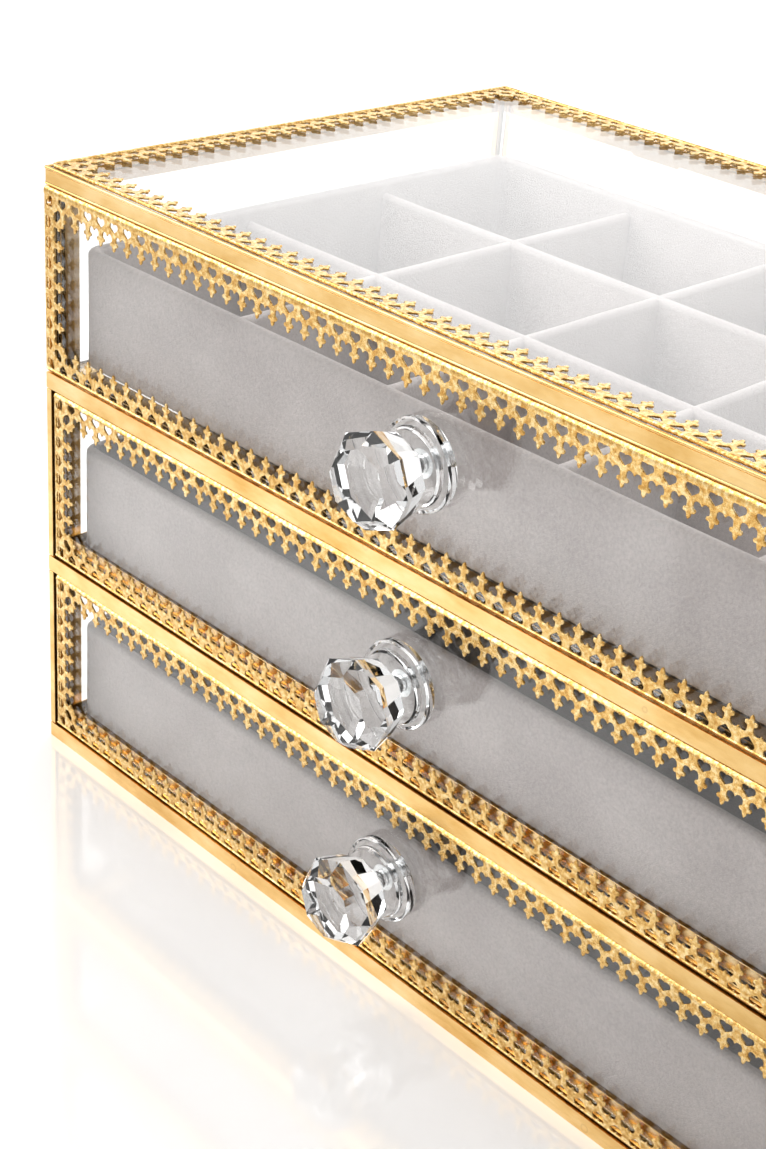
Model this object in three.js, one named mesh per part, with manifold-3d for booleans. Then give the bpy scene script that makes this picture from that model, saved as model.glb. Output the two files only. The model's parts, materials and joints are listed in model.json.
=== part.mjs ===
// Three-tier glass jewelry box in brass, with a hinged glass lid over a fixed top
// compartment and two drawers below it. Millimetres, +Z up, front towards -Y,
// origin at the centre of the underside.

import * as THREE from 'three';
import { mergeVertices } from 'three/addons/utils/BufferGeometryUtils.js';
import Module from 'manifold-3d';

const wasm = await Module();
wasm.setup();

// ---------------------------------------------------------------- driving sizes

const WIDTH = 260; // outside of the brass bands, left to right
const DEPTH = 161; // outside of the brass bands, front to rear
const TIER_PITCH = 52; // floor of one tier to the floor of the next
const BAND = 4.2; // height of every brass band
const SHEET = 0.8; // thickness of the brass
const FLANGE = 9.6; // inward leg of the bands and of the front posts
const GAP = 0.3; // clearance between touching pieces

const POST_INSET = SHEET + GAP; // behind the bands the posts stand this far in
const POST_FRONT_LEG = 1.6; // width of the leg seen from the front
const POST_REAR_LEG = 4.3;

const PANE = 1.6; // thickness of the side and rear glass
const FRONT_PANE = 2; // thickness of the front glass
const FLOOR_PLATE = 2; // thickness of the plates on the flanges
const PANE_INSET = POST_INSET + SHEET + GAP;
const INNER = PANE_INSET + PANE + GAP; // first clear inset behind the panes

const LID_SEAM = 0.4; // gap between the case and the lid
const LID_BAND = 4.5;
const LID_LEDGE = 3.5; // width of the ledge that the lid glass lies on
const LID_PANE = 3;

const LACE = 0.5; // thickness of the pressed lace
const LACE_STRIP = 4.1; // solid width of the lace, up to the root of its points

const DRAWER_SIDE = 3.2; // inset of a drawer front from the side of the case
const DRAWER_LOW = 0.5; // gap under a drawer front
const DRAWER_TALL = 46.8; // height of a drawer front
const DRAWER_DEEP = 4; // depth of a drawer's front frame
const DRAWER_LIP = 1.3; // the lip only just covers the edge of the glass

const TRAY_WALL = 3;
const TRAY_FLOOR = 2.4;
const TRAY_CORNER = 4;
const TRAY_FRONT = 7.5; // front of every tray, from the front of the case
const TRAY_BACK = 4.6; // rear of every tray, from the rear of the case
const TOP_TRAY = { side: 6, low: FLOOR_PLATE + 2 * GAP, high: 33 };
const DRAWER_TRAY = { side: 5, low: FLOOR_PLATE + 2 * GAP + 1, high: 32 };
const DIVIDER = 3;
const DIVIDER_DROP = 3.5; // dividers stop this far below the rim
const COLUMNS = 5;
const ROWS = 3;

const HINGE_X = 72;
const HINGE_LEAF = 16;
const HINGE_PIN = 0.75; // radius
const HINGE_BORE = 1.05;
const HINGE_KNUCKLE = 1.7;
const KNUCKLE = 5.1; // length of a case knuckle

// --------------------------------------------------------------- derived places

const FRONT = -DEPTH / 2;
const REAR = DEPTH / 2;
const SIDE = WIDTH / 2;
const floorOf = (tier) => BAND + tier * TIER_PITCH;
const RIM = 3 * TIER_PITCH;
const LID_LOW = RIM + LID_SEAM;
const HINGE_Y = REAR + 2.1;
const HINGE_Z = RIM + LID_SEAM / 2;

// -------------------------------------------------------------------- materials

const finish = (color, roughness, metalness, extra = {}) =>
  new THREE.MeshStandardMaterial({ color, roughness, metalness, ...extra });

const brass = () => finish(0xd6ab5b, 0.32, 1);
const steel = () => finish(0xc9ccce, 0.3, 1);
const glass = () => finish(0xeef4f2, 0.04, 0, { transparent: true, opacity: 0.25 });
const crystal = () => finish(0xf4f6f6, 0.03, 0, { transparent: true, opacity: 0.45 });
const mirror = () => finish(0xdfe3e3, 0.05, 1);
const velvet = () => finish(0xa9a09c, 0.95, 0);
const felt = () => finish(0x5c5653, 1, 0);

// ---------------------------------------------------------------- building help

const group = new THREE.Group();

function add(name, geometry, material) {
  const mesh = new THREE.Mesh(geometry, material);
  mesh.name = name;
  group.add(mesh);
}

function toSolid(geometry) {
  const bare = geometry.clone();
  bare.deleteAttribute('normal');
  bare.deleteAttribute('uv');
  const merged = mergeVertices(bare, 1e-4);
  return new wasm.Manifold(new wasm.Mesh({
    numProp: 3,
    vertProperties: new Float32Array(merged.attributes.position.array),
    triVerts: new Uint32Array(merged.index.array),
  }));
}

function toGeometry(solid) {
  const mesh = solid.getMesh();
  const geometry = new THREE.BufferGeometry();
  geometry.setAttribute('position', new THREE.BufferAttribute(mesh.vertProperties, 3));
  geometry.setIndex(new THREE.BufferAttribute(mesh.triVerts, 1));
  geometry.computeVertexNormals();
  return geometry;
}

// A block between two opposite corners.
function block([x0, y0, z0], [x1, y1, z1]) {
  const geometry = new THREE.BoxGeometry(x1 - x0, y1 - y0, z1 - z0);
  return geometry.translate((x0 + x1) / 2, (y0 + y1) / 2, (z0 + z1) / 2);
}

// A mitred rectangular frame. Its section is a list of [inset, level] points that goes
// up the outside, in over the top and down the inside.
function frame(width, depth, section) {
  const corners = [[-1, -1], [1, -1], [1, 1], [-1, 1]];
  const place = ([sx, sy], [inset, level]) =>
    [sx * (width / 2 - inset), sy * (depth / 2 - inset), level];
  const positions = [];
  corners.forEach((corner, c) => {
    const next = corners[(c + 1) % corners.length];
    section.forEach((low, i) => {
      const high = section[(i + 1) % section.length];
      const [a, b] = [place(corner, low), place(next, low)];
      const [d, e] = [place(corner, high), place(next, high)];
      positions.push(...a, ...b, ...e, ...a, ...e, ...d);
    });
  });
  const geometry = new THREE.BufferGeometry();
  geometry.setAttribute('position', new THREE.Float32BufferAttribute(positions, 3));
  geometry.computeVertexNormals();
  return geometry;
}

// The plain rectangular section of a frame.
const strip = (width, low, high) => [[0, low], [0, high], [width, high], [width, low]];

// Stands a frame that was drawn lying down up on edge, its level axis towards the front.
const standUp = (geometry, y, z) => geometry.rotateX(Math.PI / 2).translate(0, y, z);

function roundedPlate(width, depth, corner, low, high) {
  const [x, y] = [width / 2, depth / 2];
  const shape = new THREE.Shape();
  shape.moveTo(-x + corner, -y);
  shape.lineTo(x - corner, -y);
  shape.absarc(x - corner, -y + corner, corner, -Math.PI / 2, 0);
  shape.absarc(x - corner, y - corner, corner, 0, Math.PI / 2);
  shape.absarc(-x + corner, y - corner, corner, Math.PI / 2, Math.PI);
  shape.absarc(-x + corner, -y + corner, corner, Math.PI, Math.PI * 1.5);
  const options = { depth: high - low, bevelEnabled: false, curveSegments: 2 };
  return new THREE.ExtrudeGeometry(shape, options).translate(0, 0, low);
}

// A solid turned about the front-to-rear axis, at the height z.
function turned(outline, z, segments = 20) {
  const points = outline.map(([radius, y]) => new THREE.Vector2(radius, y));
  return new THREE.LatheGeometry(points, segments).translate(0, 0, z);
}

// A round bar along X between x0 and x1.
function bar(radius, x0, x1, y, z) {
  const geometry = new THREE.CylinderGeometry(radius, radius, x1 - x0, 16);
  return geometry.rotateZ(Math.PI / 2).translate((x0 + x1) / 2, y, z);
}

const mirrored = (sign, lo, hi) => (sign > 0 ? [lo, hi] : [-hi, -lo]);

// ------------------------------------------------------------------- case frame

// One length of a corner post: a leg along the front or rear and a leg along the side,
// their outer faces at the given insets from the case, with clearance all round.
function postLength(sx, sy, insetX, insetY, grow, low, high) {
  const legX = sy < 0 ? POST_FRONT_LEG : POST_REAR_LEG;
  const legY = sy < 0 ? FLANGE : POST_REAR_LEG;
  const inner = POST_INSET + SHEET + grow;
  const x = (a, b) => mirrored(sx, SIDE - b, SIDE - a);
  const y = (a, b) => mirrored(sy, REAR - b, REAR - a);
  const [fx, fy] = [x(insetX - grow, legX + grow), y(insetY - grow, inner)];
  const [px, py] = [x(insetX - grow, inner), y(insetY - grow, legY + grow)];
  const facing = toSolid(block([fx[0], fy[0], low], [fx[1], fy[1], high]));
  const returning = toSolid(block([px[0], py[0], low], [px[1], py[1], high]));
  return facing.add(returning);
}

const CORNERS = [
  ['front_left', -1, -1],
  ['front_right', 1, -1],
  ['rear_left', -1, 1],
  ['rear_right', 1, 1],
];

// A band with an inward flange level with its top, notched where the posts pass.
function bandFrame(low) {
  const high = low + BAND;
  const section = [
    [0, low], [0, high], [FLANGE, high], [FLANGE, high - SHEET], [SHEET, high - SHEET],
    [SHEET, low],
  ];
  let solid = toSolid(frame(WIDTH, DEPTH, section));
  CORNERS.forEach(([, sx, sy]) => {
    solid = solid.subtract(
      postLength(sx, sy, POST_INSET, POST_INSET, GAP * 0.9, low - 1, high + 1),
    );
  });
  return toGeometry(solid);
}

add('base_frame', bandFrame(0), brass());
add('divider_frame_lower', bandFrame(TIER_PITCH), brass());
add('divider_frame_upper', bandFrame(2 * TIER_PITCH), brass());

// A post stands flush with the bands, and steps in to pass behind each of them. Its front
// is set back behind the lace of the top tier.
const RAIL_BAR = 1.1;
CORNERS.forEach(([name, sx, sy]) => {
  const top = RIM - GAP - (sy < 0 ? RAIL_BAR : 0);
  let solid = postLength(sx, sy, POST_INSET, POST_INSET, 0, GAP, top);
  for (let tier = 0; tier < 3; tier += 1) {
    const low = floorOf(tier) + GAP;
    const high = (tier < 2 ? floorOf(tier + 1) : RIM) - BAND - GAP;
    const insetY = sy < 0 && tier === 2 ? LACE + GAP : 0;
    solid = solid.add(postLength(sx, sy, 0, insetY, 0, low, high));
  }
  add(`post_${name}`, toGeometry(solid), brass());
});

const BOARD_INSET = INNER + 1;
const board = block(
  [-SIDE + BOARD_INSET, FRONT + BOARD_INSET, 0],
  [SIDE - BOARD_INSET, REAR - BOARD_INSET, BAND - SHEET - GAP],
);
add('base_board', board, felt());

// The rail round the rim is a full band at the sides and rear, and a slim bar in front,
// which the lace covers.
const RAIL_FRONT = FRONT + LACE + GAP;
const rail = toSolid(frame(WIDTH, DEPTH, strip(SHEET, RIM - BAND, RIM)));
const railCut = toSolid(block(
  [-SIDE - 1, FRONT - 1, RIM - BAND - 1], [SIDE + 1, RAIL_FRONT, RIM + 1],
));
const railBar = toSolid(block(
  [-SIDE + SHEET / 2, RAIL_FRONT, RIM - RAIL_BAR], [SIDE - SHEET / 2, RAIL_FRONT + SHEET, RIM],
));
add('top_rail', toGeometry(rail.subtract(railCut).add(railBar)), brass());

// ----------------------------------------------------------------- case glazing

const TIERS = ['lower', 'middle', 'top'];

TIERS.forEach((tier, t) => {
  const low = floorOf(t) + GAP;
  const high = t < 2 ? floorOf(t + 1) - SHEET - GAP : RIM - GAP;
  const [near, far] = [PANE_INSET, PANE_INSET + PANE];
  const front = FRONT + PANE_INSET + FRONT_PANE + GAP;
  [['left', -1], ['right', 1]].forEach(([side, sx]) => {
    const [x0, x1] = mirrored(sx, SIDE - far, SIDE - near);
    const pane = block([x0, front, low], [x1, REAR - near, high]);
    add(`glass_${side}_${tier}`, pane, glass());
  });
  const rear = block([-SIDE + INNER, REAR - far, low], [SIDE - INNER, REAR - near, high]);
  add(`glass_rear_${tier}`, rear, glass());
  const plate = block(
    [-SIDE + INNER, FRONT + DRAWER_DEEP + 2 * GAP, low],
    [SIDE - INNER, REAR - INNER, low + FLOOR_PLATE],
  );
  add(`floor_${tier}`, plate, t === 0 ? mirror() : glass());
});

// ------------------------------------------------------------------ front panes

const SCREW_HOLE = 2;

// A front pane with the hole for the knob's screw in its middle.
function frontPane(width, height, y, z) {
  const shape = new THREE.Shape();
  shape.moveTo(-width / 2, -height / 2);
  shape.lineTo(width / 2, -height / 2);
  shape.lineTo(width / 2, height / 2);
  shape.lineTo(-width / 2, height / 2);
  const hole = new THREE.Path();
  hole.absarc(0, 0, SCREW_HOLE, 0, Math.PI * 2, true);
  shape.holes.push(hole);
  const options = { depth: FRONT_PANE, bevelEnabled: false, curveSegments: 8 };
  return standUp(new THREE.ExtrudeGeometry(shape, options), y + FRONT_PANE, z);
}

// The crystal knob: a stepped rosette, a head cut to a table, and the screw that holds
// both through the pane. y is the outer face of the pane.
function addKnob(prefix, y, z) {
  const bore = SCREW_HOLE - 0.1;
  const seat = y - GAP;
  const face = seat - 4.4;
  const rosette = [
    [bore, face], [6.2, face], [8.2, seat - 3.6], [8.2, seat - 3], [9.6, seat - 2.8],
    [10.3, seat - 2.2], [10.3, seat], [bore, seat], [bore, face],
  ];
  add(`${prefix}_rosette`, turned(rosette, z), crystal());

  const back = face - GAP;
  const table = back - 14;
  const head = [
    [0, table], [8.2, table], [10.9, back - 9], [10.9, back - 7.2], [4.2, back - 2.2],
    [4.2, back], [bore, back], [bore, back - 6.5], [0, back - 6.5],
  ];
  add(`${prefix}_head`, turned(head, z), crystal());

  const inside = y + FRONT_PANE + GAP;
  const screw = [
    [0, back - 6], [1.5, back - 6], [1.5, inside], [3.2, inside], [3.2, inside + 1.2],
    [2.4, inside + 1.7], [0, inside + 1.7],
  ];
  add(`${prefix}_screw`, turned(screw, z, 12), steel());
}

const topFloor = floorOf(2);
const topPaneLow = topFloor + GAP;
const topPaneHigh = RIM - GAP;
const topPaneMiddle = (topPaneLow + topPaneHigh) / 2;
const topPaneWidth = WIDTH - 2 * PANE_INSET;
add(
  'front_glass_top',
  frontPane(topPaneWidth, topPaneHigh - topPaneLow, FRONT + PANE_INSET, topPaneMiddle),
  glass(),
);
addKnob('knob_top', FRONT + PANE_INSET, topPaneMiddle);

const topLaceLow = topFloor + 0.2;
const topLace = frame(WIDTH, RIM - topLaceLow, strip(LACE_STRIP, -LACE, 0));
add(
  'front_lace_top', standUp(topLace, FRONT, (topLaceLow + RIM) / 2), brass(),
);

// ------------------------------------------------------------------------ trays

// An open velvet tray with rounded corners, standing on the floor plate.
function tray(sizes, floor) {
  const [width, depth] = [WIDTH - 2 * sizes.side, DEPTH - TRAY_FRONT - TRAY_BACK];
  const [low, high] = [floor + sizes.low, floor + sizes.high];
  const outer = toSolid(roundedPlate(width, depth, TRAY_CORNER, low, high));
  const inner = toSolid(roundedPlate(
    width - 2 * TRAY_WALL, depth - 2 * TRAY_WALL, 1, low + TRAY_FLOOR, high + 1,
  ));
  const middle = (FRONT + TRAY_FRONT + REAR - TRAY_BACK) / 2;
  return toGeometry(outer.subtract(inner)).translate(0, middle, 0);
}

// The clear inside of a tray, as low and high corners.
function trayInside(sizes, floor) {
  const low = [
    -SIDE + sizes.side + TRAY_WALL, FRONT + TRAY_FRONT + TRAY_WALL,
    floor + sizes.low + TRAY_FLOOR,
  ];
  const high = [-low[0], REAR - TRAY_BACK - TRAY_WALL, floor + sizes.high - DIVIDER_DROP];
  return [low, high];
}

add('tray_top', tray(TOP_TRAY, topFloor), velvet());

const [insideLow, insideHigh] = trayInside(TOP_TRAY, topFloor);
const cell = {
  x: (insideHigh[0] - insideLow[0] - (COLUMNS - 1) * DIVIDER) / COLUMNS,
  y: (insideHigh[1] - insideLow[1] - (ROWS - 1) * DIVIDER) / ROWS,
};
const columnAt = (i) => insideLow[0] + (i + 1) * cell.x + i * DIVIDER;
const rowAt = (i) => insideLow[1] + (i + 1) * cell.y + i * DIVIDER;
const slotMiddle = (insideLow[2] + GAP + insideHigh[2]) / 2;

// Long dividers are slotted from above and cross dividers from below, halfway each.
['front', 'rear'].forEach((name, row) => {
  let solid = toSolid(block(
    [insideLow[0] + GAP, rowAt(row), insideLow[2] + GAP],
    [insideHigh[0] - GAP, rowAt(row) + DIVIDER, insideHigh[2]],
  ));
  for (let column = 0; column < COLUMNS - 1; column += 1) {
    solid = solid.subtract(toSolid(block(
      [columnAt(column) - GAP, rowAt(row) - 1, slotMiddle],
      [columnAt(column) + DIVIDER + GAP, rowAt(row) + DIVIDER + 1, insideHigh[2] + 1],
    )));
  }
  add(`divider_long_${name}`, toGeometry(solid), velvet());
});

for (let column = 0; column < COLUMNS - 1; column += 1) {
  let solid = toSolid(block(
    [columnAt(column), insideLow[1] + GAP, insideLow[2] + GAP],
    [columnAt(column) + DIVIDER, insideHigh[1] - GAP, insideHigh[2]],
  ));
  for (let row = 0; row < ROWS - 1; row += 1) {
    solid = solid.subtract(toSolid(block(
      [columnAt(column) - 1, rowAt(row) - GAP, insideLow[2] - 1],
      [columnAt(column) + DIVIDER + 1, rowAt(row) + DIVIDER + GAP, slotMiddle + GAP],
    )));
  }
  add(`divider_cross_${column + 1}`, toGeometry(solid), velvet());
}

// ---------------------------------------------------------------------- drawers

function addDrawer(name, tier) {
  const floor = floorOf(tier);
  const width = WIDTH - 2 * DRAWER_SIDE;
  const low = floor + DRAWER_LOW;
  const middle = low + DRAWER_TALL / 2;

  // The lace lies on the lip of the front frame, and the glass behind that lip.
  const lace = frame(width, DRAWER_TALL, strip(LACE_STRIP, -LACE, 0));
  add(`${name}_front_lace`, standUp(lace, FRONT, middle), brass());

  const lip = -LACE - GAP;
  const section = [
    [0, -DRAWER_DEEP], [0, lip], [DRAWER_LIP, lip], [DRAWER_LIP, lip - SHEET],
    [SHEET, lip - SHEET], [SHEET, -DRAWER_DEEP],
  ];
  add(`${name}_front_frame`, standUp(frame(width, DRAWER_TALL, section), FRONT, middle), brass());

  const paneY = FRONT + LACE + SHEET + 2 * GAP;
  const paneInset = 2 * (SHEET + GAP);
  const pane = frontPane(width - paneInset, DRAWER_TALL - paneInset, paneY, middle);
  add(`${name}_front_glass`, pane, glass());
  addKnob(`${name}_knob`, paneY, middle);

  // The pan is an angle frame that slides on the floor plate and carries the tray.
  const panLow = floor + FLOOR_PLATE + 2 * GAP;
  const panFront = FRONT + DRAWER_DEEP + GAP;
  const panRear = REAR - TRAY_BACK + 0.4;
  const panSheet = 0.6;
  const panSection = [
    [0, panLow], [0, panLow + 3.5], [panSheet / 2, panLow + 3.5], [panSheet / 2, panLow + panSheet],
    [8, panLow + panSheet], [8, panLow],
  ];
  const panWidth = WIDTH - 2 * (DRAWER_TRAY.side - 0.6);
  const pan = frame(panWidth, panRear - panFront, panSection);
  add(`${name}_pan`, pan.translate(0, (panFront + panRear) / 2, 0), brass());

  add(`${name}_tray`, tray(DRAWER_TRAY, floor), velvet());
}

addDrawer('drawer_middle', 1);
addDrawer('drawer_lower', 0);

const [middleLow, middleHigh] = trayInside(DRAWER_TRAY, floorOf(1));
const middleRow = (middleLow[1] + middleHigh[1] - DIVIDER) / 2;
const middleDivider = block(
  [middleLow[0] + GAP, middleRow, middleLow[2] + GAP],
  [middleHigh[0] - GAP, middleRow + DIVIDER, middleHigh[2]],
);
add('drawer_middle_divider', middleDivider, velvet());

// -------------------------------------------------------------------------- lid

const ledge = SHEET;
const lidSection = [
  [0, LID_LOW], [0, LID_LOW + LID_BAND], [SHEET, LID_LOW + LID_BAND], [SHEET, LID_LOW + ledge],
  [LID_LEDGE, LID_LOW + ledge], [LID_LEDGE, LID_LOW],
];
add('lid_frame', frame(WIDTH, DEPTH, lidSection), brass());

const lidPaneInset = SHEET + GAP;
const lidPaneLow = LID_LOW + ledge + GAP;
const lidPane = block(
  [-SIDE + lidPaneInset, FRONT + lidPaneInset, lidPaneLow],
  [SIDE - lidPaneInset, REAR - lidPaneInset, lidPaneLow + LID_PANE],
);
add('lid_glass', lidPane, glass());

const lidLaceLow = lidPaneLow + LID_PANE + GAP;
const lidLace = frame(
  WIDTH - 2 * lidPaneInset, DEPTH - 2 * lidPaneInset,
  strip(LACE_STRIP, lidLaceLow, lidLaceLow + LACE),
);
add('lid_lace', lidLace, brass());

// ----------------------------------------------------------------------- hinges

const LEAF_NEAR = REAR + GAP;
const LEAF_FAR = LEAF_NEAR + SHEET;

function leaf(x, plateLow, plateHigh, knuckles) {
  const half = HINGE_LEAF / 2;
  let solid = toSolid(block([x - half, LEAF_NEAR, plateLow], [x + half, LEAF_FAR, plateHigh]));
  const [tabLow, tabHigh] = plateLow > HINGE_Z ? [HINGE_Z, plateLow] : [plateHigh, HINGE_Z];
  knuckles.forEach(([from, to]) => {
    const tab = block([x + from, LEAF_NEAR, tabLow], [x + to, LEAF_FAR, tabHigh]);
    solid = solid.add(toSolid(tab));
    solid = solid.add(toSolid(bar(HINGE_KNUCKLE, x + from, x + to, HINGE_Y, HINGE_Z)));
  });
  return toGeometry(solid.subtract(toSolid(bar(HINGE_BORE, x - 20, x + 20, HINGE_Y, HINGE_Z))));
}

[['left', -HINGE_X], ['right', HINGE_X]].forEach(([side, x]) => {
  const half = HINGE_LEAF / 2;
  const inner = half - KNUCKLE;
  const outside = [[-half, -inner], [inner, half]];
  add(`hinge_${side}_case_leaf`, leaf(x, RIM - BAND - 1, RIM - 2.2, outside), brass());
  const lidLow = HINGE_Z + HINGE_KNUCKLE + 0.6;
  const centre = [[-inner + GAP, inner - GAP]];
  add(`hinge_${side}_lid_leaf`, leaf(x, lidLow, LID_LOW + LID_BAND, centre), brass());
  const pin = bar(HINGE_PIN, x - half - GAP, x + half + GAP, HINGE_Y, HINGE_Z);
  add(`hinge_${side}_pin`, pin, brass());
});

export default group;
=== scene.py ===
"""Visual model of a three-tier brass and glass jewellery box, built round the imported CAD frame.

Lengths are in metres, and MM turns millimetres into them, except where a comment says that they
are in millimetres. Places come from the boxes of the CAD nodes. The glass panes and glass floors
keep their CAD shape, and every other node is replaced by a finer piece.
"""

import json
import math

import bmesh
import bpy
from mathutils import Matrix, Vector, noise

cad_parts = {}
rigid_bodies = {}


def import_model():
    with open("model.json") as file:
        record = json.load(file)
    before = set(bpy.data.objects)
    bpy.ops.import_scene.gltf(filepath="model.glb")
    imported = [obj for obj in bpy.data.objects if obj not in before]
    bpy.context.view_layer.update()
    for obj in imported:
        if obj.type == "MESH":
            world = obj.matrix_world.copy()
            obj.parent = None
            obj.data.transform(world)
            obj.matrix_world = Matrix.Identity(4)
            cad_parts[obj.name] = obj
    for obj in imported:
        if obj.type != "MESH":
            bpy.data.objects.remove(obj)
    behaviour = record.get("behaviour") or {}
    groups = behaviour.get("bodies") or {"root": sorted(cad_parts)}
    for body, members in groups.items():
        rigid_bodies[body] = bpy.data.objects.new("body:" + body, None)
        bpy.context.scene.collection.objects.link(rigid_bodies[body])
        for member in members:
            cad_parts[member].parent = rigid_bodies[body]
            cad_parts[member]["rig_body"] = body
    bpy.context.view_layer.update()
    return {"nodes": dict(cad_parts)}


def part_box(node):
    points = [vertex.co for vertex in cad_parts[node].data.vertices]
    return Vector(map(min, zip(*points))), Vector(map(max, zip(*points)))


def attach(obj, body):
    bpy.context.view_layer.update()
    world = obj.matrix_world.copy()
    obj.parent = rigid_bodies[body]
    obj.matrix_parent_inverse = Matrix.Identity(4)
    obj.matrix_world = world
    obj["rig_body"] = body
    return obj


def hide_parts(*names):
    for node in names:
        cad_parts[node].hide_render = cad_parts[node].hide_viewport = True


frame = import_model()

MM = 0.001
nodes = frame["nodes"]
scene = bpy.context.scene

# ------------------------------------------------------------------ camera and studio

CAMERA_PLACE = Vector((0.238, -0.333, 0.291))
CAMERA_TURN = 44.14  # degrees to the left of straight back
CAMERA_DROP = 28.0  # degrees below the horizon
CAMERA_ROLL = 4.63  # degrees, anticlockwise as seen from behind the camera
CAMERA_LENS = 59.0  # millimetres, on a sensor of the next width
SENSOR_WIDTH = 36.0


def make_camera():
    """The photographer's place, a little above the box and to its right."""
    data = bpy.data.cameras.new("camera")
    data.lens = CAMERA_LENS
    data.sensor_width = SENSOR_WIDTH
    data.clip_start = 0.01
    camera = bpy.data.objects.new("camera", data)
    scene.collection.objects.link(camera)
    turn = Matrix.Rotation(math.radians(CAMERA_TURN), 4, "Z")
    drop = Matrix.Rotation(math.radians(90 - CAMERA_DROP), 4, "X")
    roll = Matrix.Rotation(math.radians(CAMERA_ROLL), 4, "Z")
    camera.matrix_world = Matrix.Translation(CAMERA_PLACE) @ turn @ drop @ roll
    scene.camera = camera


def make_softbox(name, place, aim, width, height, power):
    """A white rectangular light that the camera itself doesn't see."""
    data = bpy.data.lights.new(name, "AREA")
    data.shape = "RECTANGLE"
    data.size = width
    data.size_y = height
    data.energy = power
    light = bpy.data.objects.new(name, data)
    scene.collection.objects.link(light)
    light.location = place
    light.rotation_mode = "QUATERNION"
    light.rotation_quaternion = (Vector(aim) - Vector(place)).to_track_quat("-Z", "Y")
    light.visible_camera = False


DARK_SIDE = Vector((0.5, -0.2, 0.85))  # towards the middle of the dark patch of sky
BRIGHT_SIDE = Vector((-0.3, 0.9, 0.3))  # towards the middle of the glow
WORLD_STRENGTH = 1.9

# The colour sockets of a Mix node: its two inputs and its output.
MIX_FIRST, MIX_SECOND, MIX_RESULT = 6, 7, 2


def make_world():
    """A white studio, brighter low down behind the box and dark high up on the right, which
    gives metal and crystal their contrast."""
    world = bpy.data.worlds.new("studio")
    world.use_nodes = True
    scene.world = world
    tree = world.node_tree
    background = tree.nodes["Background"]
    place = tree.nodes.new("ShaderNodeTexCoord")

    def lobe(direction, *stops):
        """Grey round a direction. Each stop is (cosine of the angle from it, grey)."""
        facing = tree.nodes.new("ShaderNodeVectorMath")
        facing.operation = "DOT_PRODUCT"
        facing.inputs[1].default_value = direction.normalized()
        tree.links.new(place.outputs["Generated"], facing.inputs[0])
        ramp = tree.nodes.new("ShaderNodeValToRGB")
        ramp.color_ramp.interpolation = "EASE"
        for element, (position, grey) in zip(ramp.color_ramp.elements, stops):
            element.position = position
            element.color = (grey, grey, grey, 1)
        tree.links.new(facing.outputs["Value"], ramp.inputs["Fac"])
        return ramp.outputs["Color"]

    product = tree.nodes.new("ShaderNodeMix")
    product.data_type = "RGBA"
    product.blend_type = "MULTIPLY"
    product.inputs["Factor"].default_value = 1.0
    dark = lobe(DARK_SIDE, (0.72, 1.0), (0.93, 0.03))
    bright = lobe(BRIGHT_SIDE, (0.58, 0.45), (0.93, 1.0))
    tree.links.new(dark, product.inputs[MIX_FIRST])
    tree.links.new(bright, product.inputs[MIX_SECOND])
    tree.links.new(product.outputs[MIX_RESULT], background.inputs["Color"])
    background.inputs["Strength"].default_value = WORLD_STRENGTH


make_camera()
make_world()
make_softbox("softbox_front", (-0.9, -0.8, 0.9), (0, 0, 0.08), 0.9, 0.9, 10)
make_softbox("softbox_top", (0.1, -0.1, 1.3), (0, 0, 0.1), 1.2, 1.0, 8)

# -------------------------------------------------------------------------- materials


class Surface:
    """A Principled material whose node tree is put together by short calls."""

    def __init__(self, name, **constants):
        self.material = bpy.data.materials.new(name)
        self.material.use_nodes = True
        self.tree = self.material.node_tree
        self.shader = self.tree.nodes["Principled BSDF"]
        for socket, value in constants.items():
            self.shader.inputs[socket.replace("_", " ")].default_value = value
        self.place = self.node("ShaderNodeTexCoord").outputs["Object"]

    def node(self, kind, inputs=(), **settings):
        made = self.tree.nodes.new(kind)
        for name, value in settings.items():
            setattr(made, name, value)
        for socket, value in dict(inputs).items():
            if isinstance(value, bpy.types.NodeSocket):
                self.tree.links.new(value, made.inputs[socket])
            else:
                made.inputs[socket].default_value = value
        return made

    def scaled(self, size):
        """The piece's own coordinates, with one unit along each axis for each size in metres."""
        scale = [1 / s for s in size]
        mapping = self.node("ShaderNodeMapping", {"Vector": self.place, "Scale": scale})
        return mapping.outputs["Vector"]

    def noise(self, size, detail, roughness=0.5):
        inputs = {"Vector": self.scaled(size), "Scale": 1.0, "Detail": detail,
                  "Roughness": roughness}
        return self.node("ShaderNodeTexNoise", inputs).outputs["Fac"]

    def ramp(self, value, *stops):
        """Each stop is (position, colour) with a grey number or an RGB colour."""
        made = self.node("ShaderNodeValToRGB", {"Fac": value})
        elements = made.color_ramp.elements
        while len(elements) < len(stops):
            elements.new(0.5)
        for element, (position, colour) in zip(elements, stops):
            element.position = position
            rgb = (colour,) * 3 if isinstance(colour, (int, float)) else colour
            element.color = (*rgb, 1)
        return made.outputs["Color"]

    def multiply(self, first, second, factor=1.0):
        """Two colours multiplied. A lower factor takes less of the second."""
        inputs = {"Factor": factor, MIX_FIRST: first, MIX_SECOND: second}
        made = self.node("ShaderNodeMix", inputs, data_type="RGBA", blend_type="MULTIPLY")
        return made.outputs[MIX_RESULT]

    def sum(self, *values):
        total = values[0]
        for value in values[1:]:
            total = self.node("ShaderNodeMath", {0: total, 1: value}, operation="ADD").outputs[0]
        return total

    def times(self, value, factor):
        made = self.node("ShaderNodeMath", {0: value, 1: factor}, operation="MULTIPLY")
        return made.outputs[0]

    def drive(self, socket, value):
        self.tree.links.new(value, self.shader.inputs[socket])

    def bump(self, height, distance, strength):
        inputs = {"Height": height, "Distance": distance, "Strength": strength}
        self.drive("Normal", self.node("ShaderNodeBump", inputs).outputs["Normal"])


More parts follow.
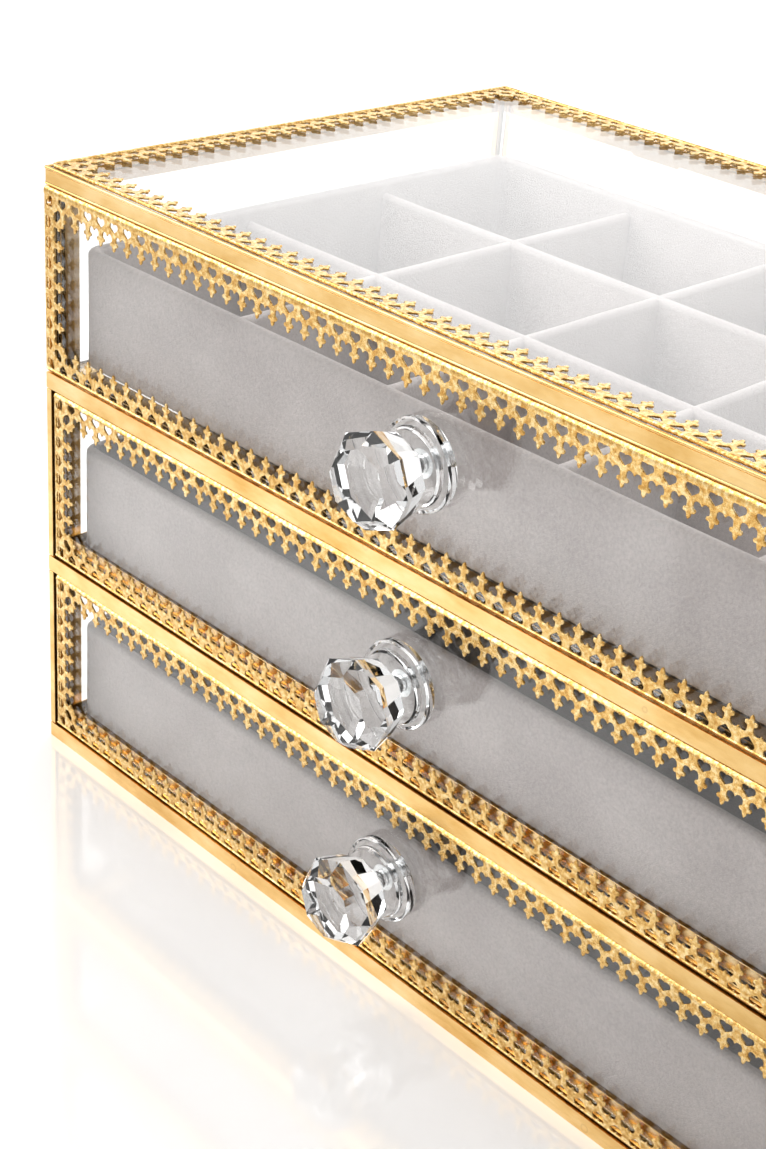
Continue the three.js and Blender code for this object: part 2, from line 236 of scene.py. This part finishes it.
def brass_sheet():
    """Rolled brass: brushed along the bands, clouded by handling, with a few drying rings."""
    s = Surface("brass_sheet", Metallic=1.0)
    clouds = s.noise((22 * MM, 22 * MM, 9 * MM), detail=5, roughness=0.62)
    brushed = s.noise((26 * MM, 26 * MM, 0.5 * MM), detail=2)
    grit = s.noise((0.6 * MM,) * 3, detail=2)
    colour = s.ramp(clouds, (0.3, (0.62, 0.36, 0.1)), (0.5, (0.78, 0.52, 0.21)),
                    (0.72, (0.9, 0.68, 0.36)))
    streaks = s.ramp(brushed, (0.3, 0.94), (0.7, 1.0))
    colour = s.multiply(colour, streaks)
    cells = s.node("ShaderNodeTexVoronoi", {"Vector": s.scaled((13 * MM,) * 3), "Scale": 1.0})
    rings = s.ramp(cells.outputs["Distance"], (0.05, 1.0), (0.07, 0.72), (0.085, 1.0))
    colour = s.multiply(colour, rings, 0.7)
    s.drive("Base Color", colour)
    s.drive("Roughness", s.ramp(s.sum(s.times(clouds, 0.7), s.times(brushed, 0.3)),
                                (0.3, 0.14), (0.7, 0.28)))
    s.bump(s.sum(s.times(brushed, 0.2), s.times(grit, 0.25), s.times(clouds, 1.5)),
           0.03 * MM, 0.5)
    return s.material


def brass_lace(name, hammering):
    """Pressed brass lace: satin and hammered this deep in millimetres. Its colour is painted
    darker in the hollows of the lumps (painted shade) and lighter on their tops (painted
    highlight).
    """
    s = Surface(name, Metallic=1.0)
    lumps = s.noise((0.9 * MM,) * 3, detail=2)
    grain = s.noise((0.25 * MM,) * 3, detail=2)
    clouds = s.noise((12 * MM,) * 3, detail=4)
    # painted shade and painted highlight: the ramp follows the lumps that also drive the bump,
    # dark in their hollows and light on their tops
    colour = s.ramp(lumps, (0.32, (0.56, 0.3, 0.075)), (0.5, (0.76, 0.49, 0.17)),
                    (0.68, (0.95, 0.73, 0.38)))
    tone = s.ramp(clouds, (0.3, 0.88), (0.7, 1.0))
    s.drive("Base Color", s.multiply(colour, tone))
    s.drive("Roughness", s.ramp(grain, (0.3, 0.2), (0.7, 0.34)))
    s.bump(s.sum(lumps, s.times(grain, 0.25)), hammering * MM, 0.9)
    return s.material


def steel():
    """The bright screw inside each crystal knob."""
    s = Surface("steel", Metallic=1.0)
    turning = s.noise((4 * MM, 0.3 * MM, 4 * MM), detail=2)
    s.drive("Base Color", s.ramp(turning, (0.3, (0.80, 0.81, 0.82)), (0.7, (0.92, 0.93, 0.94))))
    s.drive("Roughness", s.ramp(turning, (0.3, 0.15), (0.7, 0.3)))
    return s.material


def clear_glass(name, tint, ior, smear):
    """Clear glass with faint smears."""
    s = Surface(name, Transmission_Weight=1.0, IOR=ior)
    clouds = s.noise((35 * MM,) * 3, detail=5, roughness=0.6)
    s.drive("Base Color", s.ramp(clouds, (0.2, tint), (0.8, (1.0, 1.0, 1.0))))
    s.drive("Roughness", s.ramp(clouds, (0.45, 0.0), (0.8, smear)))
    return s.material


def velvet(name, shade):
    """Short warm grey pile, brushed into soft clouds, with fibres that catch the light. Its
    colour is multiplied by the shade. Near 1 this is the velvet's own tone; well above 1 it is
    painted light and well below 1 painted shade, for the copies inside the trays."""
    s = Surface(name, Roughness=0.9, Sheen_Weight=0.55, Sheen_Roughness=0.45,
                Specular_IOR_Level=0.15, Sheen_Tint=(0.95, 0.93, 0.93, 1))
    nap = s.noise((20 * MM, 20 * MM, 16 * MM), detail=2, roughness=0.5)
    tufts = s.noise((0.7 * MM,) * 3, detail=3, roughness=0.65)
    fibres = s.noise((0.2 * MM,) * 3, detail=2)
    colour = s.ramp(nap, (0.3, [c * shade for c in (0.4, 0.36, 0.348)]),
                    (0.7, [c * shade for c in (0.48, 0.438, 0.424)]))
    pile = s.ramp(tufts, (0.32, 0.84), (0.68, 1.08))
    s.drive("Base Color", s.multiply(colour, pile))
    s.bump(s.sum(tufts, s.times(fibres, 0.6)), 0.3 * MM, 0.7)
    return s.material


def felt():
    """Black felt under the base."""
    s = Surface("felt", Roughness=1.0, Sheen_Weight=0.3)
    fibres = s.noise((0.7 * MM,) * 3, detail=4, roughness=0.7)
    s.drive("Base Color", s.ramp(fibres, (0.3, (0.02, 0.02, 0.02)), (0.7, (0.07, 0.065, 0.06))))
    s.bump(fibres, 0.3 * MM, 0.6)
    return s.material


def mirror():
    """Silvered glass with light smears."""
    s = Surface("mirror", Metallic=1.0)
    clouds = s.noise((30 * MM,) * 3, detail=5, roughness=0.6)
    s.drive("Base Color", s.ramp(clouds, (0.3, (0.86, 0.88, 0.87)), (0.7, (0.93, 0.94, 0.94))))
    s.drive("Roughness", s.ramp(clouds, (0.4, 0.02), (0.8, 0.08)))
    return s.material


def floor_white():
    """The studio's glossy white table."""
    s = Surface("floor_white", Roughness=0.1, Specular_IOR_Level=1.0)
    clouds = s.noise((0.4, 0.4, 0.4), detail=2)
    s.drive("Base Color", s.ramp(clouds, (0.3, (0.88, 0.87, 0.865)), (0.7, (0.9, 0.89, 0.885))))
    return s.material


BRASS = brass_sheet()
LACE = brass_lace("brass_lace", 0.25)
LACE_FOLD = brass_lace("brass_fold", 0.07)
PANE = clear_glass("pane_glass", (0.985, 0.995, 0.99), 1.48, 0.03)
CRYSTAL = clear_glass("crystal", (0.99, 1.0, 1.0), 1.53, 0.01)
VELVET = velvet("velvet", 0.89)
VELVET_PAINTED_LIGHT = velvet("velvet_painted_light", 1.12)  # painted light: the velvet lightened to stand in for the bright glow in the compartments of the top tray
VELVET_PAINTED_SHADE = velvet("velvet_painted_shade", 0.36)  # painted shade: the velvet darkened to stand in for the shadow inside the drawers
STEEL = steel()
FELT = felt()
MIRROR = mirror()

# ----------------------------------------------------------------------- mesh helpers


def arc(centre, radius, start, end, steps):
    """Points of an arc from one angle to another, in degrees."""
    angles = [math.radians(start + (end - start) * i / steps) for i in range(steps + 1)]
    return [(centre[0] + radius * math.cos(a), centre[1] + radius * math.sin(a)) for a in angles]


def make_piece(name, bm, sharp=35, weighted=True):
    """A smooth object from a bmesh. Edges that turn by more than sharp degrees stay sharp."""
    bmesh.ops.recalc_face_normals(bm, faces=bm.faces)
    mesh = bpy.data.meshes.new(name)
    bm.to_mesh(mesh)
    bm.free()
    mesh.shade_smooth()
    mesh.set_sharp_from_angle(angle=math.radians(sharp))
    piece = bpy.data.objects.new(name, mesh)
    scene.collection.objects.link(piece)
    if weighted:
        normals = piece.modifiers.new("weighted_normals", "WEIGHTED_NORMAL")
        normals.keep_sharp = True
    return piece


def stand_for(piece, node, material, replace=True):
    """Gives a piece its material and slot and puts it in the CAD body of a node, which it hides
    if the piece replaces it.
    """
    piece.data.materials.clear()
    piece.data.materials.append(material)
    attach(piece, nodes[node]["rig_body"])
    if replace:
        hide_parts(node)


def loft(loops, close=False):
    """A closed body through loops of equal length. Its ends are capped, or joined together."""
    bm = bmesh.new()
    rings = [[bm.verts.new(point) for point in loop] for loop in loops]
    pairs = list(zip(rings, rings[1:]))
    if close:
        pairs.append((rings[-1], rings[0]))
    for near, far in pairs:
        for i in range(len(near)):
            j = (i + 1) % len(near)
            bm.faces.new((near[i], near[j], far[j], far[i]))
    if not close:
        bm.faces.new(rings[0][::-1])
        bm.faces.new(rings[-1])
    return bm


SMALLEST_RADIUS = 0.03 * MM  # keeps the points of an inner corner apart


def rounded_rectangle(half_width, half_depth, radius, corner_steps=6, side_cuts=(1, 1)):
    """Points round a rectangle with round corners, as (x, y). side_cuts is how many equal
    steps the sides along X and along Y are cut into."""
    radius = max(radius, SMALLEST_RADIUS)
    points = []
    for quarter, (sx, sy) in enumerate([(1, -1), (1, 1), (-1, 1), (-1, -1)]):
        centre = (sx * (half_width - radius), sy * (half_depth - radius))
        corner = arc(centre, radius, -90 + 90 * quarter, 90 * quarter, corner_steps)
        cuts = side_cuts[1] if quarter % 2 == 0 else side_cuts[0]
        length = 2 * ((half_depth if quarter % 2 == 0 else half_width) - radius)
        step = length / cuts
        way = [(0, 1), (-1, 0), (0, -1), (1, 0)][quarter]
        last = corner[-1]
        points += corner
        points += [(last[0] + way[0] * step * k, last[1] + way[1] * step * k)
                   for k in range(1, cuts)]
    return points


def moulding(width, depth, radius, section):
    """A section of (inset, level) points led round a rectangle with round corners."""
    loops = []
    for inset, level in section:
        loop = rounded_rectangle(
            width / 2 - inset, depth / 2 - inset, radius - inset, corner_steps=5
        )
        loops.append([(x, y, level) for x, y in loop])
    return loft(loops, close=True)


def stand_up(bm, plane, middle):
    """Turns a body drawn flat so that it stands in the front. Its levels now run outwards from
    a plane, and its middle is at this height."""
    for vertex in bm.verts:
        x, y, level = vertex.co
        vertex.co = (x, plane - level, middle + y)


class Box:
    """The space that a CAD node holds: its low and high corners, its size and its middle."""

    def __init__(self, node):
        self.low, self.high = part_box(node)
        self.size = self.high - self.low
        self.middle = (self.low + self.high) / 2


def softened(node, width):
    """A copy of a CAD solid with its sharp edges rounded to this width."""
    bm = bmesh.new()
    bm.from_mesh(nodes[node].data)
    bmesh.ops.remove_doubles(bm, verts=bm.verts, dist=0.01 * MM)
    bmesh.ops.dissolve_limit(
        bm, angle_limit=math.radians(1), verts=bm.verts, edges=bm.edges
    )
    sharp = [e for e in bm.edges if e.is_manifold and e.calc_face_angle() > math.radians(30)]
    bmesh.ops.bevel(
        bm, geom=sharp, offset=width, segments=2, profile=0.5, affect="EDGES",
        clamp_overlap=True,
    )
    return bm


# ------------------------------------------------------------------------------- lace

LACE_PITCH = 5.13  # millimetres, as are all sizes of the lace's pattern
LACE_EDGE = 2.6  # outer edge to the middle of a heart
LACE_TIP = 8.1  # outer edge to the tip of a point
LACE_CUSP = 4.8  # outer edge to the small cusp between two points
LACE_ROUND = 0.14  # rounding of the pressed edges
LACE_CORNER = 1.6  # radius of the outer corners of the lid's lace
CORNER_SHIFT = 0.45  # the heart in a corner lies this much further in, along each side
MEETING_SHIFT = 0.3  # the inner edge turns this much past the first heart of each side
BEAD = 0.55  # radius of the bead along the outer edge of the lid's lace
SIDE_CUT = 0.55  # the upright strips are trimmed this much closer to their hearts
FOLD = 0.65  # width of the folded edge along the top and bottom of a front
TOP_LEDGE = 0.8  # the fixed front has a wider fold along its top
FRONT_CORNER = 0.3  # radius of the outer corners of a front
LACE_SHARP = 50  # degrees


def lace_notch():
    """The round notch beside a point, from the point's waist almost to the cusp."""
    return [(0.72, 5.6), *arc((1.6, 4.95), 0.88, 180, 330, 5)]


def lace_point(pitch):
    """Half of a three-lobed point, from its tip to the cusp midway to the next one."""
    tip = [(0.0, LACE_TIP), (0.38, 7.7), (0.5, 7.2), (0.6, 6.85)]
    side_lobe = arc((0.93, 6.3), 0.5, 115, -95, 5)
    return [*tip, *side_lobe, *lace_notch(), (pitch / 2, LACE_CUSP)]


def lace_heart():
    """A heart with its cleft towards the outer edge and its point inwards."""
    lobe = arc((0.74, 1.95), 0.84, -148, 35, 6)
    other = [(-along, depth) for along, depth in reversed(lobe)]
    return [*lobe, (0.0, 3.6), *other]


def lace_outlines(width, height, side_cut=0.0, fold=0.0, corner=LACE_CORNER):
    """Outlines of a lace frame in millimetres: the outer edge, the inner edge and each hole.

    side_cut is trimmed off the outer edges of the two upright strips, and fold off those of the
    other two, where a fold bar takes over."""
    outer = rounded_rectangle(width / 2, height / 2 - fold, corner)
    width += 2 * side_cut
    sides = [
        (width, lambda s, d: (s - width / 2, d - height / 2)),
        (height, lambda s, d: (width / 2 - d, s - height / 2)),
        (width, lambda s, d: (width / 2 - s, height / 2 - d)),
        (height, lambda s, d: (d - width / 2, height / 2 - s)),
    ]
    inner, holes = [], []
    for length, place in sides:
        count = round((length - 2 * LACE_EDGE) / LACE_PITCH)
        pitch = (length - 2 * LACE_EDGE) / count
        half = lace_point(pitch)
        first = LACE_EDGE + pitch
        meeting = first + MEETING_SHIFT
        inner.append(place(meeting, meeting))
        # A point stands over each heart. The outer halves of the first and last points give
        # way to the corners.
        for k in range(1, count):
            middle = LACE_EDGE + k * pitch
            rising = [(middle - s, d) for s, d in reversed(half)]
            falling = [(middle + s, d) for s, d in half]
            if k == 1:
                rising, falling = [], falling[1:]
            if k == count - 1:
                rising, falling = rising[:-1], []
            inner += [place(s, d) for s, d in rising[:-1] + falling[:-1]]
            if falling and k < count - 1:
                inner.append(place(*falling[-1]))
            holes.append([place(middle + s, d) for s, d in lace_heart()])
        # The corner has a heart on the diagonal and an open square behind it.
        diagonal = [Vector((s, d - LACE_EDGE)) @ Matrix.Rotation(math.radians(45), 2)
                    for s, d in lace_heart()]
        centre = LACE_EDGE + CORNER_SHIFT
        holes.append([place(centre + v.x, centre + v.y) for v in diagonal])
        edge = [(first - s, d) for s, d in lace_notch()]
        square = [*edge, (LACE_CUSP, LACE_CUSP), *[(d, s) for s, d in reversed(edge)]]
        holes.append([place(s, d) for s, d in square])
    return [outer, inner, *holes]


def lace_mesh(name, outlines, thickness):
    """The lace in millimetres, lying flat and centred, with its edges rounded. A filled curve
    finds the surface between the outlines."""
    curve = bpy.data.curves.new(name, "CURVE")
    curve.dimensions = "2D"
    curve.fill_mode = "BOTH"
    curve.extrude = thickness / 2 - LACE_ROUND
    curve.bevel_depth = LACE_ROUND
    curve.bevel_resolution = 1
    curve.offset = -LACE_ROUND
    for outline in outlines:
        spline = curve.splines.new("POLY")
        spline.points.add(len(outline) - 1)
        for point, (x, y) in zip(spline.points, outline):
            point.co = (x, y, 0, 1)
        spline.use_cyclic_u = True
    drawn = bpy.data.objects.new(name, curve)
    scene.collection.objects.link(drawn)
    graph = bpy.context.evaluated_depsgraph_get()
    mesh = bpy.data.meshes.new_from_object(drawn.evaluated_get(graph))
    bpy.data.objects.remove(drawn)
    bpy.data.curves.remove(curve)
    bm = bmesh.new()
    bm.from_mesh(mesh)
    bpy.data.meshes.remove(mesh)
    bmesh.ops.remove_doubles(bm, verts=bm.verts, dist=0.004)
    return bm


def fold_bar(width, height, side, ledge):
    """The edge of a front where the strip folds back, in millimetres. side is 1 for the top edge
    and -1 for the bottom one, and ledge is how much wider the flat part of the fold is."""
    section = [(0.0, -0.45), (0.12, -0.15), (0.8, 0.33), (1.05 + ledge, 0.38),
               (1.2 + ledge, 0.25), (1.05 + ledge, -0.2), (0.5, -0.45)]
    return loft([
        [(x, side * (height / 2 - inset), level) for inset, level in section]
        for x in (-width / 2, width / 2)
    ])


def make_front_lace(node, name, ledge=0.0):
    """The upright lace that stands for a CAD node, between its two folded edges."""
    box = Box(node)
    width, height, thickness = box.size.x / MM, box.size.z / MM, box.size.y / MM
    outlines = lace_outlines(width, height - ledge, SIDE_CUT, FOLD, FRONT_CORNER)
    lace = lace_mesh(name, outlines, thickness)
    bmesh.ops.translate(lace, vec=(0, -ledge / 2, 0), verts=lace.verts)
    bodies = [
        (name, lace, LACE),
        (name + "_fold_top", fold_bar(width, height, 1, ledge), LACE_FOLD),
        (name + "_fold_bottom", fold_bar(width, height, -1, 0), LACE_FOLD),
    ]
    for label, body, metal in bodies:
        bmesh.ops.scale(body, vec=(MM,) * 3, verts=body.verts)
        stand_up(body, box.middle.y, box.middle.z)
        piece = make_piece(label, body, sharp=LACE_SHARP)
        stand_for(piece, node, metal, replace=label == name)


def make_lid_lace(node, name):
    """The lace that lies on the lid's glass, and the bead along its outer edge."""
    box = Box(node)
    size = box.size
    lace = lace_mesh(name, lace_outlines(size.x / MM, size.y / MM), size.z / MM)
    bmesh.ops.scale(lace, vec=(MM,) * 3, verts=lace.verts)
    radius = BEAD * MM
    rise = size.z / 2 - radius * 0.3
    section = [(radius + a, rise + b) for a, b in arc((0, 0), radius, 0, 330, 11)]
    bead = moulding(size.x, size.y, LACE_CORNER * MM, section)
    for label, body in ((name, lace), (name + "_bead", bead)):
        bmesh.ops.translate(body, vec=box.middle, verts=body.verts)
        piece = make_piece(label, body, sharp=LACE_SHARP)
        stand_for(piece, node, LACE, replace=label == name)


make_front_lace("front_lace_top", "lace_front_top", TOP_LEDGE)
make_front_lace("drawer_middle_front_lace", "lace_drawer_middle")
make_front_lace("drawer_lower_front_lace", "lace_drawer_lower")
make_lid_lace("lid_lace", "lace_lid")

# ------------------------------------------------------------------------ brass sheet

BAND_EDGE = 0.16 * MM  # rounding of the case's bands
POST_EDGE = 0.12 * MM
SHEET_EDGE = 0.1 * MM  # rounding of the drawers' thin frames and pans, the hinges and the mirror


def make_lid_band():
    """The lid's band: a flat face between a rolled top edge and a folded lower edge."""
    box = Box("lid_frame")
    bottom = box.low.z
    roll = 0.45 * MM  # radius of the rolled top edge
    fold = 0.25 * MM  # radius of the folded lower edge
    sheet = 0.8 * MM  # thickness of the band and of its ledge
    ledge = 3.5 * MM  # how far the ledge under the glass reaches in
    face = 0.22 * MM  # the flat face lies this far behind the rolled edge
    corner = 0.5 * MM
    top = box.high.z - roll
    rolled = [(roll + x, top + z) for x, z in arc((0, 0), roll, 250, 20, 9)]
    folded = [(fold + x, bottom + fold + z) for x, z in arc((0, 0), fold, 270, 120, 5)]
    section = [
        *folded, (face, bottom + 3 * fold), (face, top - roll * 1.1), *rolled,
        (sheet, top), (sheet, bottom + sheet), (ledge, bottom + sheet), (ledge, bottom),
    ]
    piece = make_piece("lid_band", moulding(box.size.x, box.size.y, corner, section))
    stand_for(piece, "lid_frame", BRASS)


def make_brass(names, width):
    """Each named solid in brass, with its edges rounded to this width."""
    for node in names:
        piece = make_piece(node + "_brass", softened(node, width))
        stand_for(piece, node, BRASS)


make_lid_band()
make_brass(["base_frame", "divider_frame_lower", "divider_frame_upper", "top_rail"], BAND_EDGE)
make_brass([n for n in nodes if n.startswith("post_")], POST_EDGE)
make_brass([n for n in nodes if n.endswith(("front_frame", "_pan"))], SHEET_EDGE)
make_brass([n for n in nodes if n.startswith("hinge_")], SHEET_EDGE)

# ------------------------------------------------------------- glass, mirror and felt

PANE_EDGE = 0.15 * MM
FELT_EDGE = 0.5 * MM


def finish_pane(node):
    """A CAD pane keeps its shape. Light passes it straight, so that it casts no hard shadow."""
    pane = nodes[node]
    pane.data.materials.clear()
    pane.data.materials.append(PANE)
    bevel = pane.modifiers.new("polished_edge", "BEVEL")
    bevel.width = PANE_EDGE
    bevel.segments = 1
    bevel.limit_method = "ANGLE"
    pane.visible_shadow = False
    pane.visible_diffuse = False


for pane_name in nodes:
    if "glass" in pane_name or pane_name in ("floor_middle", "floor_top"):
        finish_pane(pane_name)

mirror_piece = make_piece("floor_mirror", softened("floor_lower", SHEET_EDGE))
stand_for(mirror_piece, "floor_lower", MIRROR)
felt_piece = make_piece("base_felt", softened("base_board", FELT_EDGE))
stand_for(felt_piece, "base_board", FELT)

# ------------------------------------------------------------------------------ knobs

HEAD_FACETS = 8
RIM_FACETS = 32  # sides of the rosettes, and of the screws too

# Profiles of a knob's parts in millimetres, as (radius, level). Each runs outwards from the back
# of its CAD node.
HEAD_LEVELS = [(4.6, 0.0), (8.9, 3.6), (10.9, 10.4), (7.9, 14.0)]
ROSETTE_LEVELS = [(9.4, 0.0), (10.3, 0.7), (10.3, 2.3), (9.9, 2.8), (8.7, 3.0), (8.5, 3.9),
                  (8.1, 4.4), (5.2, 4.4), (5.0, 4.1)]
SCREW_FLANGE = [(2.4, 0.0), (3.2, 0.5), (3.2, 1.7), (1.5, 1.8)]
SCREW_THREAD = 6.2  # millimetres of the CAD screw inside the head, left out here


def turned_body(node, sides, levels):
    """A body with this many sides that stands out to the front from the back of a CAD node."""
    box = Box(node)
    loops = []
    for radius, level in levels:
        angles = [2 * math.pi * i / sides for i in range(sides)]
        loops.append([(radius * math.cos(a), radius * math.sin(a), level) for a in angles])
    bm = loft(loops)
    bmesh.ops.scale(bm, vec=(MM,) * 3, verts=bm.verts)
    stand_up(bm, box.high.y, 0)
    bmesh.ops.translate(bm, vec=(box.middle.x, 0, box.middle.z), verts=bm.verts)
    return bm


def make_screw(node):
    """A steel screw with a flange behind the pane, as far as the foot of the crystal head."""
    end = Box(node).size.y / MM - SCREW_THREAD
    levels = [*SCREW_FLANGE, (1.5, end - 0.3), (1.2, end)]
    piece = make_piece(node + "_steel", turned_body(node, RIM_FACETS, levels))
    stand_for(piece, node, STEEL)


def make_knob(prefix):
    """A screw, an eight-sided cut crystal head and a stepped rosette with a faceted rim."""
    make_screw(f"{prefix}_screw")
    crystals = [
        ("head", HEAD_FACETS, HEAD_LEVELS, 5),
        ("rosette", RIM_FACETS, ROSETTE_LEVELS, 14),
    ]
    for part, sides, levels, sharp in crystals:
        node = f"{prefix}_{part}"
        bm = turned_body(node, sides, levels)
        piece = make_piece(f"{prefix}_crystal_{part}", bm, sharp=sharp, weighted=False)
        stand_for(piece, node, CRYSTAL)
        piece.visible_shadow = False


for knob in ("knob_top", "drawer_middle_knob", "drawer_lower_knob"):
    make_knob(knob)

# ------------------------------------------------------------------------------ trays

TRAY_CORNER = 4.5 * MM  # outer radius of the upright corners
TRAY_WALL = 3.0 * MM
TRAY_FLOOR = 2.4 * MM
TRAY_FOOT = 1.2 * MM  # rounding of the lower outside edge
TRAY_FILLET = 2.0 * MM  # rounding where the walls meet the floor inside
FLAT_INSET = 14 * MM  # the flat under and inside a tray is one face from this inset inwards
CLOTH_STEP = 5 * MM  # length of the steps that wrapped cloth is drawn in
DIVIDER_STEP = 4 * MM
CROSS_DROP = 0.25 * MM  # the cross dividers' tops are this much lower than in the CAD
CLOTH_SEED = 1

noise.seed_set(CLOTH_SEED)  # otherwise the noise would differ from run to run


def wobble(point, wave, amount):
    """A point shifted a little, in waves of this length, so that cloth doesn't look machined."""
    shift = noise.noise_vector(Vector(point) / wave) * amount
    return Vector((point[0] + shift.x, point[1] + shift.y, point[2] + shift.z * 0.6))


def flat_middle(box):
    """The middle of a box's plan, at level 0."""
    return Vector((box.middle.x, box.middle.y, 0))


def tray_section(low, high):
    """The section of a tray between two levels as (inset, level), from its flat underside round
    the rim to its flat floor inside."""
    half_wall = TRAY_WALL / 2
    foot = [(TRAY_FOOT + x, low + TRAY_FOOT + z)
            for x, z in arc((0, 0), TRAY_FOOT, 270, 180, 6)]
    wall = [(0, low + TRAY_FOOT + (high - low - TRAY_FOOT) * k / 4) for k in (1, 2, 3)]
    rim = [(half_wall + x, high - half_wall + z) for x, z in arc((0, 0), half_wall, 180, 0, 8)]
    floor_level = low + TRAY_FLOOR
    inside = [(TRAY_WALL + TRAY_FILLET + x, floor_level + TRAY_FILLET + z)
              for x, z in arc((0, 0), TRAY_FILLET, 180, 270, 5)]
    return [(FLAT_INSET, low), *foot, *wall, *rim, *inside, (FLAT_INSET, floor_level)]


def make_tray(node, name, painted_light_velvet):
    """A velvet-wrapped tray: round lower edges, upright walls and a soft round rim."""
    box = Box(node)
    cuts = (round(box.size.x / CLOTH_STEP), round(box.size.y / CLOTH_STEP))
    loops = []
    for inset, level in tray_section(box.low.z, box.high.z):
        loop = rounded_rectangle(
            box.size.x / 2 - inset, box.size.y / 2 - inset, TRAY_CORNER - inset * 0.6,
            side_cuts=cuts,
        )
        loops.append([(x, y, level) for x, y in loop])
    bm = loft(loops)
    for vertex in bm.verts:
        vertex.co = wobble(vertex.co, 18 * MM, 0.16 * MM) + flat_middle(box)
    piece = make_piece(name, bm, sharp=60)
    stand_for(piece, node, VELVET)
    # The inside faces get a copy of the velvet that paints the light there: lightened (painted
    # light) in the top tray, darkened (painted shade) in the drawers.
    piece.data.materials.append(painted_light_velvet)
    lowest_inside = box.low.z + TRAY_FLOOR - 0.5 * MM
    for face in piece.data.polygons:
        x, y, z = face.center
        inset = min(x - box.low.x, box.high.x - x, y - box.low.y, box.high.y - y)
        face.material_index = int(inset > TRAY_WALL * 0.8 and z > lowest_inside)


def make_divider(node, cloth, drop=0.0):
    """A velvet-wrapped partition with a round top, which is this drop below its CAD node's."""
    box = Box(node)
    along_x = box.size.x > box.size.y
    length = max(box.size.x, box.size.y)
    half = min(box.size.x, box.size.y) / 2
    bottom, top = box.low.z, box.high.z - drop
    rim = [(x, top - half + z) for x, z in arc((0, 0), half, 180, 0, 8)]
    section = [(-half, bottom), *rim, (half, bottom)]
    count = max(2, round(length / DIVIDER_STEP))
    loops = []
    for k in range(count + 1):
        along = -length / 2 + length * k / count
        loop = [(along, side, z) if along_x else (side, along, z) for side, z in section]
        loops.append([wobble(p, 14 * MM, 0.18 * MM) + flat_middle(box) for p in loop])
    # The cloth is a painted copy of the velvet: lightened (painted light) for the top tray's
    # partitions, darkened (painted shade) for the drawer's.
    piece = make_piece(node + "_velvet", loft(loops), sharp=60)
    stand_for(piece, node, cloth)


make_tray("tray_top", "tray_top_velvet", VELVET_PAINTED_LIGHT)
make_tray("drawer_middle_tray", "drawer_middle_tray_velvet", VELVET_PAINTED_SHADE)
make_tray("drawer_lower_tray", "drawer_lower_tray_velvet", VELVET_PAINTED_SHADE)
for divider in nodes:
    if divider.startswith("divider_long"):
        make_divider(divider, VELVET_PAINTED_LIGHT)
    if divider.startswith("divider_cross"):
        make_divider(divider, VELVET_PAINTED_LIGHT, drop=CROSS_DROP)
make_divider("drawer_middle_divider", VELVET_PAINTED_SHADE)

# ------------------------------------------------------------------------------ floor

HALF_FLOOR = 6.0

floor_mesh = bpy.data.meshes.new("floor")
floor_mesh.from_pydata(
    [(x * HALF_FLOOR, y * HALF_FLOOR, 0) for x, y in ((-1, -1), (1, -1), (1, 1), (-1, 1))],
    [], [(0, 1, 2, 3)],
)
floor = bpy.data.objects.new("floor", floor_mesh)
floor.data.materials.append(floor_white())
scene.collection.objects.link(floor)

scene.view_settings.view_transform = "Standard"
